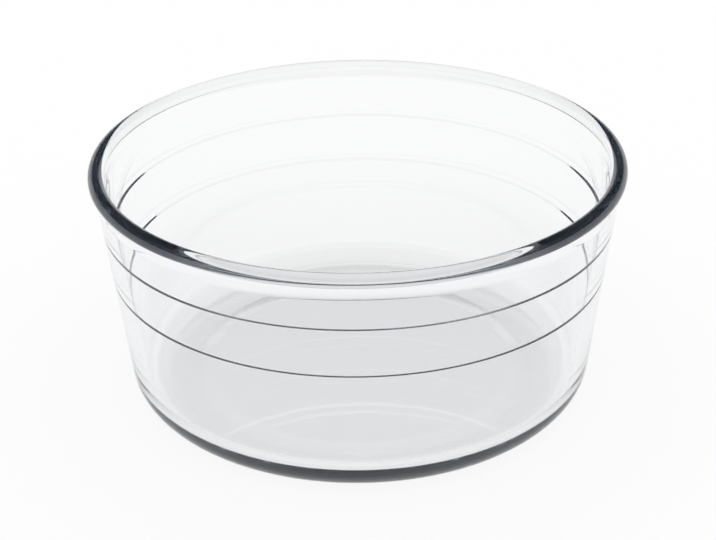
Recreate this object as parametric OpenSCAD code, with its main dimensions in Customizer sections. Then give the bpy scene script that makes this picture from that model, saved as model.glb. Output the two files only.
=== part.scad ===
// Round souffle dish of clear pressed glass, made in one piece.
// It stands on z = 0 and opens towards +Z, centred on the Z axis. Sizes are in millimetres.
// The wall leans out evenly from a rounded heel, then flares to a round bead along the rim.
// The bead runs on smoothly from the flare outside, and stands in from the wall inside.
// The outside is smooth. Inside, two low steps run round the wall, which is thicker below each.

/* [Overall] */
// Outside diameter across the rim bead
rim_d = 210; // [195:1:225]
// Height from the table to the top of the rim
dish_h = 97; // [85:1:110]
// Diameter at which the outside wall would meet the table if the heel were sharp
base_d = 186; // [172:1:196]

/* [Rim] */
// Thickness of the round bead
bead_d = 6.2; // [5.8:0.1:6.8]
// How far the bead stands out from the line of the outside wall
flare_out = 1.7; // [1.5:0.1:2.3]
// How much more the wall leans at the bead than below, in degrees
flare_turn = 26; // [22:1:30]
// Radius of the hollow fillet under the bead, inside
neck_r = 0.6; // [0.4:0.1:1.5]

/* [Wall] */
// Thickness of the wall above the steps, square to its face
wall_t = 4.7; // [4.5:0.1:5.2]
// Depth of the middle of the upper step below the top of the rim
step_drop = 24; // [18:1:34]
// Height between the two steps
step_pitch = 20.4; // [10:0.2:28]
// Level width of each step, by which the wall is thicker below it
step_w = 0.6; // [0.4:0.1:1]
// Height of the slope of each step
step_h = 1; // [0.6:0.1:2]
// Rounding of the edge and of the root of each step
step_r = 1.3; // [0.3:0.1:2]

/* [Base] */
// Thickness of the floor, from the table up
floor_t = 6.5; // [5:0.1:9]
// Rounding of the heel, where the outside wall turns under
heel_r = 12.5; // [6:0.5:16]
// Fillet between the floor and the wall, inside
floor_r = 10; // [5:0.5:14]
// Width of the flat ring that the dish stands on
foot_w = 12; // [5:0.5:20]
// Depth of the hollow under the floor, inside the foot ring
hollow_h = 0.8; // [0.3:0.1:1.5]
// Level width of the slope between the foot ring and the hollow
slope_w = 8; // [4:0.5:16]
// Rounding at both ends of that slope
slope_r = 20; // [5:1:30]

/* [Hidden] */
$fn = 180;

// Number of steps inside the wall
step_count = 2;

// Largest gap between an arc and the short straight pieces that draw it
chord_gap = 0.01;

// The bead is a full round, and its top is the top of the dish.
bead_r = bead_d / 2;
bead_centre = [rim_d / 2 - bead_r, dish_h - bead_r];

// The line of the outside wall runs from the table to the height of the bead's middle.
wall_top_x = rim_d / 2 - flare_out;
draft = atan2(wall_top_x - base_d / 2, bead_centre[1]);
rim_lean = draft + flare_turn;

// The flare is an arc about a point outside the dish, from the outside wall to the outside of the bead.
flare_r = ((flare_out - bead_r) * cos(draft) + bead_r * cos(flare_turn)) / (1 - cos(flare_turn));
bead_reach = flare_r + bead_r;
flare_centre = bead_centre + bead_reach * [cos(rim_lean), -sin(rim_lean)];

// Under the heel comes the foot ring, then the slope up to the hollow.
foot_outer_x = base_d / 2 - heel_r * tan((90 - draft) / 2);
foot_inner_x = foot_outer_x - foot_w;

// The roundings at the edge and the root of a step just fail to meet.
step_run = [step_w + step_h * tan(draft), step_h];
step_turn = atan2(step_run[0], step_run[1]) - draft;
step_round = min(step_r, 0.48 * norm(step_run) / tan(step_turn / 2));

// Radius of the outside wall at height z
function outside_x(z) = base_d / 2 + z * tan(draft);

// Radius of the inside wall at height z, below the given number of steps
function inside_x(z, steps) = outside_x(z) - wall_t / cos(draft) - steps * step_w;

// Height of the edge (0) or the root (1) of step i, counted from 0 at the top
function step_z(i, below) = dish_h - step_drop - i * step_pitch + (0.5 - below) * step_h;

// Direction of a vector, as a vector of length 1 and as an angle
function unit(v) = v / norm(v);
function heading(v) = atan2(v[1], v[0]);

// Points along an arc from one angle to another
function arc(centre, r, from, to) =
    let (pieces = ceil(abs(to - from) / (2 * acos(1 - chord_gap / r))))
    [for (k = [0 : pieces]) let (a = from + (to - from) * k / pieces) centre + r * [cos(a), sin(a)]];

// All points of a list but the first
function rest(points) = [for (i = [1 : len(points) - 1]) points[i]];

// Points that round the corner b of the path a, b, c
function rounded_corner(a, b, c, r) =
    let (
        back = unit(a - b),
        ahead = unit(c - b),
        half = acos(back * ahead) / 2,
        centre = b + unit(back + ahead) * r / sin(half),
        from = heading(b + back * r / tan(half) - centre),
        to = heading(b + ahead * r / tan(half) - centre),
        turn = (to - from + 540) % 360 - 180
    )
    arc(centre, r, from, from + turn);

// Points along a path of straight lines through the corners [x, z], rounded by the radii.
// The first and last corners only give the direction of the ends.
function rounded_path(corners, radii) = [
    for (i = [1 : len(corners) - 2])
        each rounded_corner(corners[i - 1], corners[i], corners[i + 1], radii[i - 1])
];

// Bottom and outside of the section, from the axis to the outside wall
function outer_path() = rounded_path(
    [
        [0, hollow_h],
        [foot_inner_x - slope_w, hollow_h],
        [foot_inner_x, 0],
        [base_d / 2, 0],
        [wall_top_x, bead_centre[1]]
    ],
    [slope_r, slope_r, heel_r]
);

// Rim of the section: up the flare outside, over the bead, and down the fillet and the flare inside.
// The bead is drawn a quarter at a time, so that its widest and highest points are exact.
function rim_path() =
    let (
        neck_reach = flare_r + wall_t + neck_r,
        squares = pow(bead_reach, 2) + pow(neck_reach, 2) - pow(bead_r + neck_r, 2),
        below = acos(squares / (2 * bead_reach * neck_reach)),
        neck_angle = 180 - rim_lean + below,
        neck_centre = flare_centre + neck_reach * [cos(neck_angle), sin(neck_angle)],
        to_neck = heading(neck_centre - bead_centre) + 360,
        stops = [-rim_lean, 0, 90, 180, to_neck]
    )
    concat(
        arc(flare_centre, flare_r, 180 - draft, 180 - rim_lean),
        [for (i = [1 : len(stops) - 1]) each rest(arc(bead_centre, bead_r, stops[i - 1], stops[i]))],
        rest(arc(neck_centre, neck_r, to_neck - 180, neck_angle - 180)),
        rest(arc(flare_centre, flare_r + wall_t, neck_angle, 180 - draft))
    );

// Inside of the section, from the wall under the rim down over the steps to the axis
function inner_path() = rounded_path(
    [
        [inside_x(bead_centre[1], 0), bead_centre[1]],
        for (i = [0 : step_count - 1], below = [0, 1])
            [inside_x(step_z(i, below), i + below), step_z(i, below)],
        [inside_x(floor_t, step_count), floor_t],
        [0, floor_t]
    ],
    [for (i = [1 : 2 * step_count]) step_round, floor_r]
);

module dish() {
    color([0.88, 0.91, 0.94, 0.4])
        rotate_extrude()
            polygon(concat(
                [[0, floor_t], [0, hollow_h]],
                outer_path(),
                rim_path(),
                inner_path()
            ));
}

dish();
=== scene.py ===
import math

import bpy
from mathutils import Matrix, Vector

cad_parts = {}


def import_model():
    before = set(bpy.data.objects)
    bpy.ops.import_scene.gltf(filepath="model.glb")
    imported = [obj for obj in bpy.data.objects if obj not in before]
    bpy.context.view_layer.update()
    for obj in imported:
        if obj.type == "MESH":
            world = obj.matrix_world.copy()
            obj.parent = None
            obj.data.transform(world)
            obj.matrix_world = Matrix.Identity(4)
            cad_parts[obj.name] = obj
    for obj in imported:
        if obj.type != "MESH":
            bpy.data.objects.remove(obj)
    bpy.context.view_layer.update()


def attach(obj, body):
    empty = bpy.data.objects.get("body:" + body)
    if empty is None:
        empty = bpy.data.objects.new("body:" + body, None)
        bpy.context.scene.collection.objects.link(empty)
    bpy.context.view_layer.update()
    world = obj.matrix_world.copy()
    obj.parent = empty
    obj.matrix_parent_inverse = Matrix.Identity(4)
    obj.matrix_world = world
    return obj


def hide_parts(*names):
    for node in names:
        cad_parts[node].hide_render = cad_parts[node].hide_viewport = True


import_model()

# Section of the dish, with the same values as the solid model. Lengths are in millimetres.
RIM_D = 210
DISH_H = 97
BASE_D = 186
BEAD_D = 6.2
FLARE_OUT = 1.7
FLARE_TURN = math.radians(26)
NECK_R = 0.6
WALL_T = 4.7
STEP_DROP = 24
STEP_PITCH = 20.4
STEP_W = 0.6
STEP_H = 1
STEP_R = 1.3
STEP_COUNT = 2
FLOOR_T = 6.5
HEEL_R = 12.5
FLOOR_R = 10
FOOT_W = 12
HOLLOW_H = 0.8
SLOPE_W = 8
SLOPE_R = 20

# Metres in a millimetre
MM = 0.001

# Fineness of the mesh: parts of a full turn, and longest straight piece of the section
TURN_PARTS = 360
STRAIGHT_PIECE = 4.0

# Largest turn of one piece of an arc, and fewest pieces of an arc
ARC_PIECE = math.radians(7.5)
ARC_LEAST = 3

# Glass: its refraction, and the cool tint that grows with depth, per metre
GLASS_IOR = 1.474
TINT = (0.30, 0.37, 0.46, 1)
TINT_DENSITY = 9

# Soft waves that pressing leaves in the glass: height in millimetres, and waves per metre
WAVE_H = 0.05
WAVE_SCALE = 30

# Scuffs under the foot: roughness, grains per metre, and the heights in millimetres over which they end
SCUFF_ROUGHNESS = 0.5
SCUFF_SCALE = 1500
SCUFF_FULL_H = 0.1
SCUFF_END_H = 0.5

# Faint haze all over the glass: roughness, and patches per metre
HAZE_ROUGHNESS = 0.03
HAZE_SCALE = 60

# Floor, in metres: reach from the middle, and gap under the foot
FLOOR_HALF = 3.0
FLOOR_GAP = 0.0003

# Colour of the floor, and the share of it that shows as plain white and takes no shadow
FLOOR_COLOUR = (0.97, 0.97, 0.97, 1)
FLOOR_WHITE = 0.88

# Surroundings as they show: white up to one elevation and dim from another, both given as a sine
WHITE = (1, 1, 1, 1)
WHITE_TO = 0.17
DIM_FROM = 0.35
DIM_STRENGTH = 0.03

# Camera as fitted to the photograph: lens in millimetres, place in metres
SENSOR_W = 36
LENS = 80.69
CLIP_START = 0.01
CAMERA_PLACE = (0, -0.5775, 0.34966)
CAMERA_YAW = math.radians(-0.042)
CAMERA_PITCH = math.radians(27.85)
CAMERA_ROLL = math.radians(-0.85)

# Bounces that light may take in the glass and between matt faces
GLASS_BOUNCES = 64
MATT_BOUNCES = 8

# The wall leans evenly up to the flare, which curves outwards and runs on into the outside of the bead.
BEAD_R = BEAD_D / 2
BEAD_CENTRE = Vector((RIM_D / 2 - BEAD_R, DISH_H - BEAD_R))
WALL_TOP_X = RIM_D / 2 - FLARE_OUT
DRAFT = math.atan2(WALL_TOP_X - BASE_D / 2, BEAD_CENTRE.y)
RIM_LEAN = DRAFT + FLARE_TURN
FLARE_R = (
    (FLARE_OUT - BEAD_R) * math.cos(DRAFT) + BEAD_R * math.cos(FLARE_TURN)
) / (1 - math.cos(FLARE_TURN))
BEAD_REACH = FLARE_R + BEAD_R
FLARE_CENTRE = BEAD_CENTRE + BEAD_REACH * Vector((math.cos(RIM_LEAN), -math.sin(RIM_LEAN)))
FOOT_INNER_X = BASE_D / 2 - HEEL_R * math.tan((math.pi / 2 - DRAFT) / 2) - FOOT_W


def inside_x(height, steps):
    """Radius of the inside wall at a height, below the given number of steps."""
    return BASE_D / 2 + height * math.tan(DRAFT) - WALL_T / math.cos(DRAFT) - steps * STEP_W


def heading(vector):
    """Angle of a vector in the section's plane."""
    return math.atan2(vector.y, vector.x)


def arc(centre, radius, start, end):
    """Points of an arc, each with the glass's outward normal. A clockwise arc is a hollow one."""
    pieces = max(ARC_LEAST, math.ceil(abs(end - start) / ARC_PIECE))
    side = 1 if end > start else -1
    points = []
    for k in range(pieces + 1):
        angle = start + (end - start) * k / pieces
        ray = Vector((math.cos(angle), math.sin(angle)))
        points.append((centre + radius * ray, side * ray))
    return points


def rounded_corner(before, corner, after, radius):
    """Arc that rounds a corner of the section."""
    back = (before - corner).normalized()
    ahead = (after - corner).normalized()
    half = math.acos(back.dot(ahead)) / 2
    centre = corner + (back + ahead).normalized() * radius / math.sin(half)
    start = heading(corner + back * radius / math.tan(half) - centre)
    end = heading(corner + ahead * radius / math.tan(half) - centre)
    turn = (end - start + 3 * math.pi) % (2 * math.pi) - math.pi
    return arc(centre, radius, start, start + turn)


def rounded_path(corners, radii):
    """Arcs at all corners but the first and the last."""
    points = []
    for i, radius in enumerate(radii):
        points += rounded_corner(*(Vector(c) for c in corners[i:i + 3]), radius)
    return points


def bottom_and_outside():
    """Hollow, foot ring and heel, from the axis to the outside wall."""
    corners = [
        (0, HOLLOW_H),
        (FOOT_INNER_X - SLOPE_W, HOLLOW_H),
        (FOOT_INNER_X, 0),
        (BASE_D / 2, 0),
        (WALL_TOP_X, BEAD_CENTRE.y),
    ]
    return rounded_path(corners, [SLOPE_R, SLOPE_R, HEEL_R])


def rim():
    """Flare of the outside wall, bead, hollow fillet under it inside, and flare of the inside wall."""
    neck_reach = FLARE_R + WALL_T + NECK_R
    squares = BEAD_REACH ** 2 + neck_reach ** 2 - (BEAD_R + NECK_R) ** 2
    neck_angle = math.pi - RIM_LEAN + math.acos(squares / (2 * BEAD_REACH * neck_reach))
    neck_centre = FLARE_CENTRE + neck_reach * Vector((math.cos(neck_angle), math.sin(neck_angle)))
    to_neck = heading(neck_centre - BEAD_CENTRE) + 2 * math.pi
    stops = [-RIM_LEAN, 0, math.pi / 2, math.pi, to_neck]
    points = arc(FLARE_CENTRE, FLARE_R, math.pi - DRAFT, math.pi - RIM_LEAN)
    for start, end in zip(stops, stops[1:]):
        points += arc(BEAD_CENTRE, BEAD_R, start, end)[1:]
    points += arc(neck_centre, NECK_R, to_neck - math.pi, neck_angle - math.pi)[1:]
    return points + arc(FLARE_CENTRE, FLARE_R + WALL_T, neck_angle, math.pi - DRAFT)[1:]


def inside():
    """Inside wall with its steps, and the fillet to the floor."""
    steps = []
    for i in range(STEP_COUNT):
        above = DISH_H - STEP_DROP - i * STEP_PITCH + STEP_H / 2
        below = above - STEP_H
        steps += [(inside_x(above, i), above), (inside_x(below, i + 1), below)]
    corners = [
        (inside_x(BEAD_CENTRE.y, 0), BEAD_CENTRE.y),
        *steps,
        (inside_x(FLOOR_T, STEP_COUNT), FLOOR_T),
        (0, FLOOR_T),
    ]
    return rounded_path(corners, [STEP_R] * len(steps) + [FLOOR_R])


def with_straights(points):
    """The points with their long straight pieces cut into short ones."""
    cut = [points[0]]
    for (a, _), (b, normal) in zip(points, points[1:]):
        pieces = math.ceil((b - a).length / STRAIGHT_PIECE)
        cut += [(a.lerp(b, k / pieces), normal) for k in range(1, pieces)]
        cut.append((b, normal))
    return cut


def section():
    """Outline of the glass from the axis under the floor, round the rim, to the axis on the floor."""
    under = (Vector((0, HOLLOW_H)), Vector((0, -1)))
    top = (Vector((0, FLOOR_T)), Vector((0, 1)))
    return with_straights([under, *bottom_and_outside(), *rim(), *inside(), top])


def turned_points(outline):
    """Places and normals of the outline's points, turned about Z. Its two ends lie on the axis."""
    first, *rings, last = outline
    places = [(0, 0, first[0].y * MM)]
    normals = [(0, 0, -1)]
    for point, normal in rings:
        for j in range(TURN_PARTS):
            angle = 2 * math.pi * j / TURN_PARTS
            along_x, along_y = math.cos(angle), math.sin(angle)
            places.append((point.x * along_x * MM, point.x * along_y * MM, point.y * MM))
            normals.append((normal.x * along_x, normal.x * along_y, normal.y))
    places.append((0, 0, last[0].y * MM))
    normals.append((0, 0, 1))
    return places, normals


def turned_faces(rings):
    """Faces between that many rings of turned points, closed at both ends, with a plain UV map."""
    faces = []
    uvs = []
    last = 1 + rings * TURN_PARTS
    for j in range(TURN_PARTS):
        beside = (j + 1) % TURN_PARTS
        u, u_beside = j / TURN_PARTS, (j + 1) / TURN_PARTS
        for i in range(rings + 1):
            low, high = 1 + (i - 1) * TURN_PARTS, 1 + i * TURN_PARTS
            v, v_above = i / (rings + 1), (i + 1) / (rings + 1)
            if i == 0:
                faces.append((0, high + beside, high + j))
                uvs += [(u, v), (u_beside, v_above), (u, v_above)]
            elif i == rings:
                faces.append((low + j, low + beside, last))
                uvs += [(u, v), (u_beside, v), (u, v_above)]
            else:
                faces.append((low + j, low + beside, high + beside, high + j))
                uvs += [(u, v), (u_beside, v), (u_beside, v_above), (u, v_above)]
    return faces, uvs


def lathe(name, outline):
    """Closed piece that turns the outline about Z, with exact normals."""
    places, normals = turned_points(outline)
    faces, uvs = turned_faces(len(outline) - 2)
    mesh = bpy.data.meshes.new(name)
    mesh.from_pydata(places, [], faces)
    layer = mesh.uv_layers.new(name="turned")
    for loop, uv in zip(layer.data, uvs):
        loop.uv = uv
    mesh.shade_smooth()
    mesh.normals_split_custom_set_from_vertices(normals)
    piece = bpy.data.objects.new(name, mesh)
    bpy.context.scene.collection.objects.link(piece)
    return piece


def new_material(name):
    """Empty node material, with its node tree."""
    material = bpy.data.materials.new(name)
    material.use_nodes = True
    material.node_tree.nodes.clear()
    return material, material.node_tree


def noise(tree, place, scale, detail):
    """Socket of a noise pattern from 0 to 1, with its scale in waves per metre."""
    pattern = tree.nodes.new("ShaderNodeTexNoise")
    pattern.inputs["Scale"].default_value = scale
    pattern.inputs["Detail"].default_value = detail
    tree.links.new(place, pattern.inputs["Vector"])
    return pattern.outputs["Fac"]


def map_range(tree, value, start, end, at_start, at_end):
    """Socket that runs smoothly from one value to another while the given one runs from start to end."""
    ramp = tree.nodes.new("ShaderNodeMapRange")
    ramp.interpolation_type = "SMOOTHSTEP"
    settings = {"From Min": start, "From Max": end, "To Min": at_start, "To Max": at_end}
    for name, setting in settings.items():
        ramp.inputs[name].default_value = setting
    tree.links.new(value, ramp.inputs["Value"])
    return ramp.outputs["Result"]


def combine(tree, operation, first, second):
    """Socket of a product, maximum or the like of two sockets."""
    node = tree.nodes.new("ShaderNodeMath")
    node.operation = operation
    tree.links.new(first, node.inputs[0])
    tree.links.new(second, node.inputs[1])
    return node.outputs["Value"]


def glass_roughness(tree, place):
    """Socket of the roughness: scuffs where the glass stands on the table, faint haze elsewhere."""
    parts = tree.nodes.new("ShaderNodeSeparateXYZ")
    tree.links.new(place, parts.inputs["Vector"])
    foot = map_range(tree, parts.outputs["Z"], SCUFF_FULL_H * MM, SCUFF_END_H * MM, at_start=1, at_end=0)
    grains = noise(tree, place, SCUFF_SCALE, detail=4)
    scuffs = map_range(tree, grains, start=0.35, end=0.75, at_start=0, at_end=SCUFF_ROUGHNESS)
    patches = noise(tree, place, HAZE_SCALE, detail=5)
    haze = map_range(tree, patches, start=0.45, end=0.8, at_start=0, at_end=HAZE_ROUGHNESS)
    return combine(tree, "MAXIMUM", combine(tree, "MULTIPLY", foot, scuffs), haze)


def glass_material():
    """Clear glass with a faint cool tint, soft waves from pressing, haze, and a foot ring dulled by use."""
    material, tree = new_material("clear_pressed_glass")
    nodes, links = tree.nodes, tree.links
    output = nodes.new("ShaderNodeOutputMaterial")
    shader = nodes.new("ShaderNodeBsdfPrincipled")
    shader.inputs["Base Color"].default_value = WHITE
    shader.inputs["Transmission Weight"].default_value = 1
    shader.inputs["IOR"].default_value = GLASS_IOR
    links.new(shader.outputs["BSDF"], output.inputs["Surface"])

    place = nodes.new("ShaderNodeTexCoord").outputs["Object"]
    waves = nodes.new("ShaderNodeBump")
    waves.inputs["Strength"].default_value = 1
    waves.inputs["Distance"].default_value = WAVE_H * MM
    links.new(noise(tree, place, WAVE_SCALE, detail=1), waves.inputs["Height"])
    links.new(waves.outputs["Normal"], shader.inputs["Normal"])
    links.new(glass_roughness(tree, place), shader.inputs["Roughness"])

    tint = nodes.new("ShaderNodeVolumeAbsorption")
    tint.inputs["Color"].default_value = TINT
    tint.inputs["Density"].default_value = TINT_DENSITY
    links.new(tint.outputs["Volume"], output.inputs["Volume"])
    return material


def shown_ray(tree):
    """Socket that is 1 for rays that show the background: straight, reflected or through glass."""
    path = tree.nodes.new("ShaderNodeLightPath")
    glass_ray = combine(tree, "MAXIMUM", path.outputs["Is Glossy Ray"], path.outputs["Is Transmission Ray"])
    return combine(tree, "MAXIMUM", path.outputs["Is Camera Ray"], glass_ray)


def floor_material():
    """Pale matt floor that shows white, with a light shadow."""
    material, tree = new_material("pale_floor")
    nodes, links = tree.nodes, tree.links
    output = nodes.new("ShaderNodeOutputMaterial")
    matt = nodes.new("ShaderNodeBsdfDiffuse")
    matt.inputs["Color"].default_value = FLOOR_COLOUR
    white = nodes.new("ShaderNodeEmission")
    white.inputs["Strength"].default_value = 1
    share = nodes.new("ShaderNodeMath")
    share.operation = "MULTIPLY"
    share.inputs[1].default_value = FLOOR_WHITE
    links.new(shown_ray(tree), share.inputs[0])
    mix = nodes.new("ShaderNodeMixShader")
    links.new(share.outputs["Value"], mix.inputs["Fac"])
    links.new(matt.outputs["BSDF"], mix.inputs[1])
    links.new(white.outputs["Emission"], mix.inputs[2])
    links.new(mix.outputs["Shader"], output.inputs["Surface"])
    material.cycles.emission_sampling = "NONE"
    return material


def floor():
    """Flat floor just under the dish's foot."""
    signs = [(-1, -1), (1, -1), (1, 1), (-1, 1)]
    corners = [(x * FLOOR_HALF, y * FLOOR_HALF, -FLOOR_GAP) for x, y in signs]
    mesh = bpy.data.meshes.new("floor")
    mesh.from_pydata(corners, [], [(0, 1, 2, 3)])
    mesh.materials.append(floor_material())
    sheet = bpy.data.objects.new("floor", mesh)
    bpy.context.scene.collection.objects.link(sheet)


def camera():
    """Camera at the photograph's place, in front of the dish and looking down into it."""
    lens = bpy.data.cameras.new("camera")
    lens.sensor_width = SENSOR_W
    lens.lens = LENS
    lens.clip_start = CLIP_START
    holder = bpy.data.objects.new("camera", lens)
    turn = Matrix.Rotation(-CAMERA_YAW, 4, "Z") @ Matrix.Rotation(math.pi / 2 - CAMERA_PITCH, 4, "X")
    holder.matrix_world = Matrix.Translation(CAMERA_PLACE) @ turn @ Matrix.Rotation(CAMERA_ROLL, 4, "Z")
    bpy.context.scene.collection.objects.link(holder)
    bpy.context.scene.camera = holder


def world():
    """Soft white light from all round. What shows in the glass is white low down and dim above."""
    surroundings = bpy.data.worlds.new("surroundings")
    surroundings.use_nodes = True
    tree = surroundings.node_tree
    nodes, links = tree.nodes, tree.links
    soft_light = nodes["Background"]
    soft_light.inputs["Color"].default_value = WHITE
    soft_light.inputs["Strength"].default_value = 1
    direction = nodes.new("ShaderNodeTexCoord").outputs["Generated"]
    parts = nodes.new("ShaderNodeSeparateXYZ")
    links.new(direction, parts.inputs["Vector"])
    strength = map_range(tree, parts.outputs["Z"], WHITE_TO, DIM_FROM, at_start=1, at_end=DIM_STRENGTH)
    backdrop = nodes.new("ShaderNodeBackground")
    backdrop.inputs["Color"].default_value = WHITE
    links.new(strength, backdrop.inputs["Strength"])
    mix = nodes.new("ShaderNodeMixShader")
    links.new(shown_ray(tree), mix.inputs["Fac"])
    links.new(soft_light.outputs["Background"], mix.inputs[1])
    links.new(backdrop.outputs["Background"], mix.inputs[2])
    links.new(mix.outputs["Shader"], nodes["World Output"].inputs["Surface"])
    bpy.context.scene.world = surroundings


dish = lathe("glass_dish", section())
dish.data.materials.append(glass_material())
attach(dish, "root")
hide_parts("dish")

floor()
camera()
world()

scene = bpy.context.scene
scene.view_settings.view_transform = "Standard"
scene.cycles.max_bounces = GLASS_BOUNCES
scene.cycles.transmission_bounces = GLASS_BOUNCES
scene.cycles.glossy_bounces = GLASS_BOUNCES
scene.cycles.diffuse_bounces = MATT_BOUNCES
scene.cycles.blur_glossy = 0
